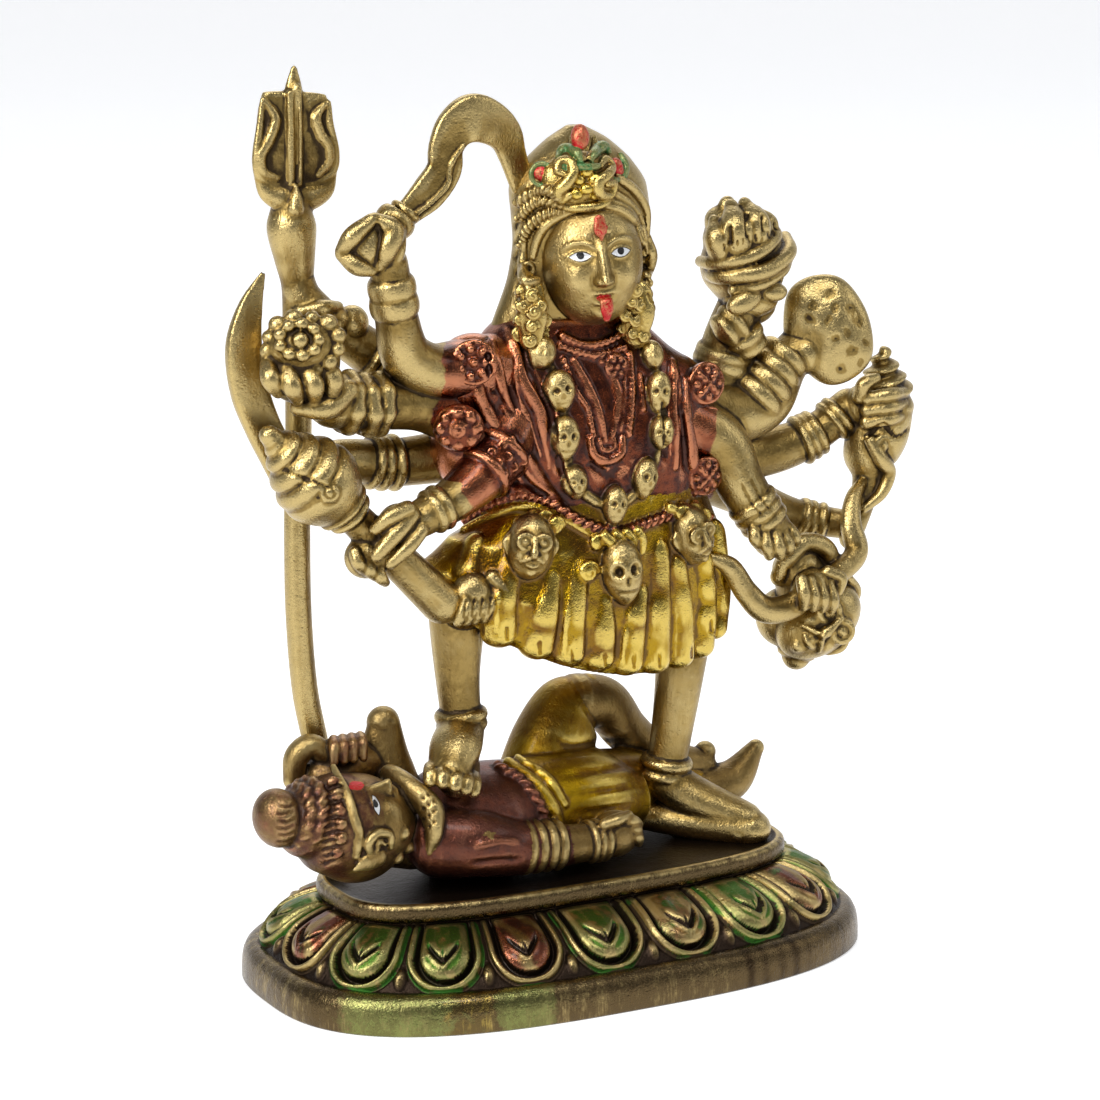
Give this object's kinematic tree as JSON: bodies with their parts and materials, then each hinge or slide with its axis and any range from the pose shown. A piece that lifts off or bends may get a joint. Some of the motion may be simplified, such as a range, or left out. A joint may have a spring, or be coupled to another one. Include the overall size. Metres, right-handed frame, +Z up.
{
  "type": "brass statuette on a lotus plinth",
  "caption": "Cast brass statuette of a many-armed goddess standing on a lying god, on an oval plinth with lotus petals.",
  "frame": {"origin": "centre of the plinth's flat underside", "axes": "+Z up, the front faces -Y, +X runs from the lying god's head towards his feet"},
  "size_m": [0.1599, 0.08, 0.19],
  "materials": {
    "plinth_brass": "aged cast brass, dark in the grooves, with green and copper lacquer on the petals",
    "lying_god_brass": "aged cast brass with copper-brown and yellow lacquer, worn bright on the high places",
    "goddess_brass": "aged satin brass with copper-red and yellow lacquer on the clothes, dark in the folds"
  },
  "bodies": {
    "root": {"lotus_plinth": "plinth_brass", "lying_god": "lying_god_brass", "standing_goddess": "goddess_brass"}
  },
  "joints": []
}
